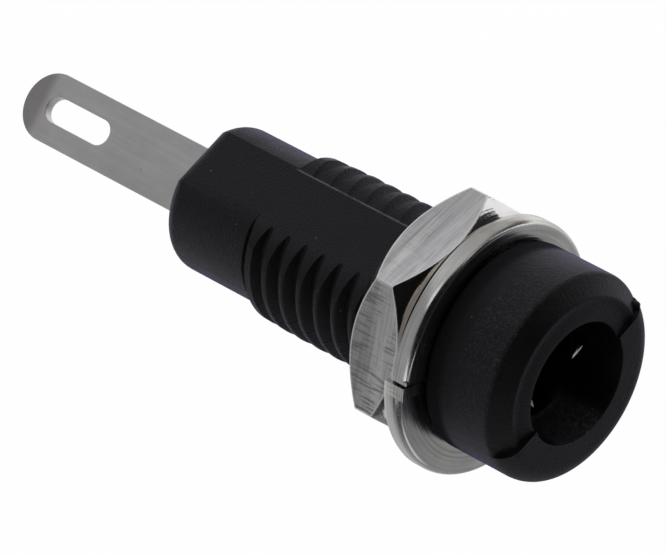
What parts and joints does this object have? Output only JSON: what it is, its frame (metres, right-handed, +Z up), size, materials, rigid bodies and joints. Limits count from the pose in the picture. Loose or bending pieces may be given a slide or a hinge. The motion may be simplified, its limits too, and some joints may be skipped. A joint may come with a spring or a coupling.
{
  "type": "banana socket",
  "caption": "Panel-mount banana socket: insulated round head with a plug hole, threaded stem with flats, spring contact ending in a solder lug, split lock washer and hex nut.",
  "frame": {"origin": "on the plug axis, in the plane of the head's rear face, which seats against the panel", "axes": "+Y along the plug axis from the mouth to the solder lug, +Z up out of one flat of the stem, +X along the flats' width"},
  "size_m": [0.0125, 0.0341, 0.0121],
  "materials": {
    "body_nylon": "matte black moulding, faint grain",
    "contact_tinned": "dull tin plating over copper alloy",
    "washer_plated": "plated spring steel",
    "nut_plated": "nickel plating with ground streaks"
  },
  "bodies": {
    "root": {"insulated_body": "body_nylon", "contact": "contact_tinned", "lock_washer": "washer_plated", "hex_nut": "nut_plated"}
  },
  "joints": []
}
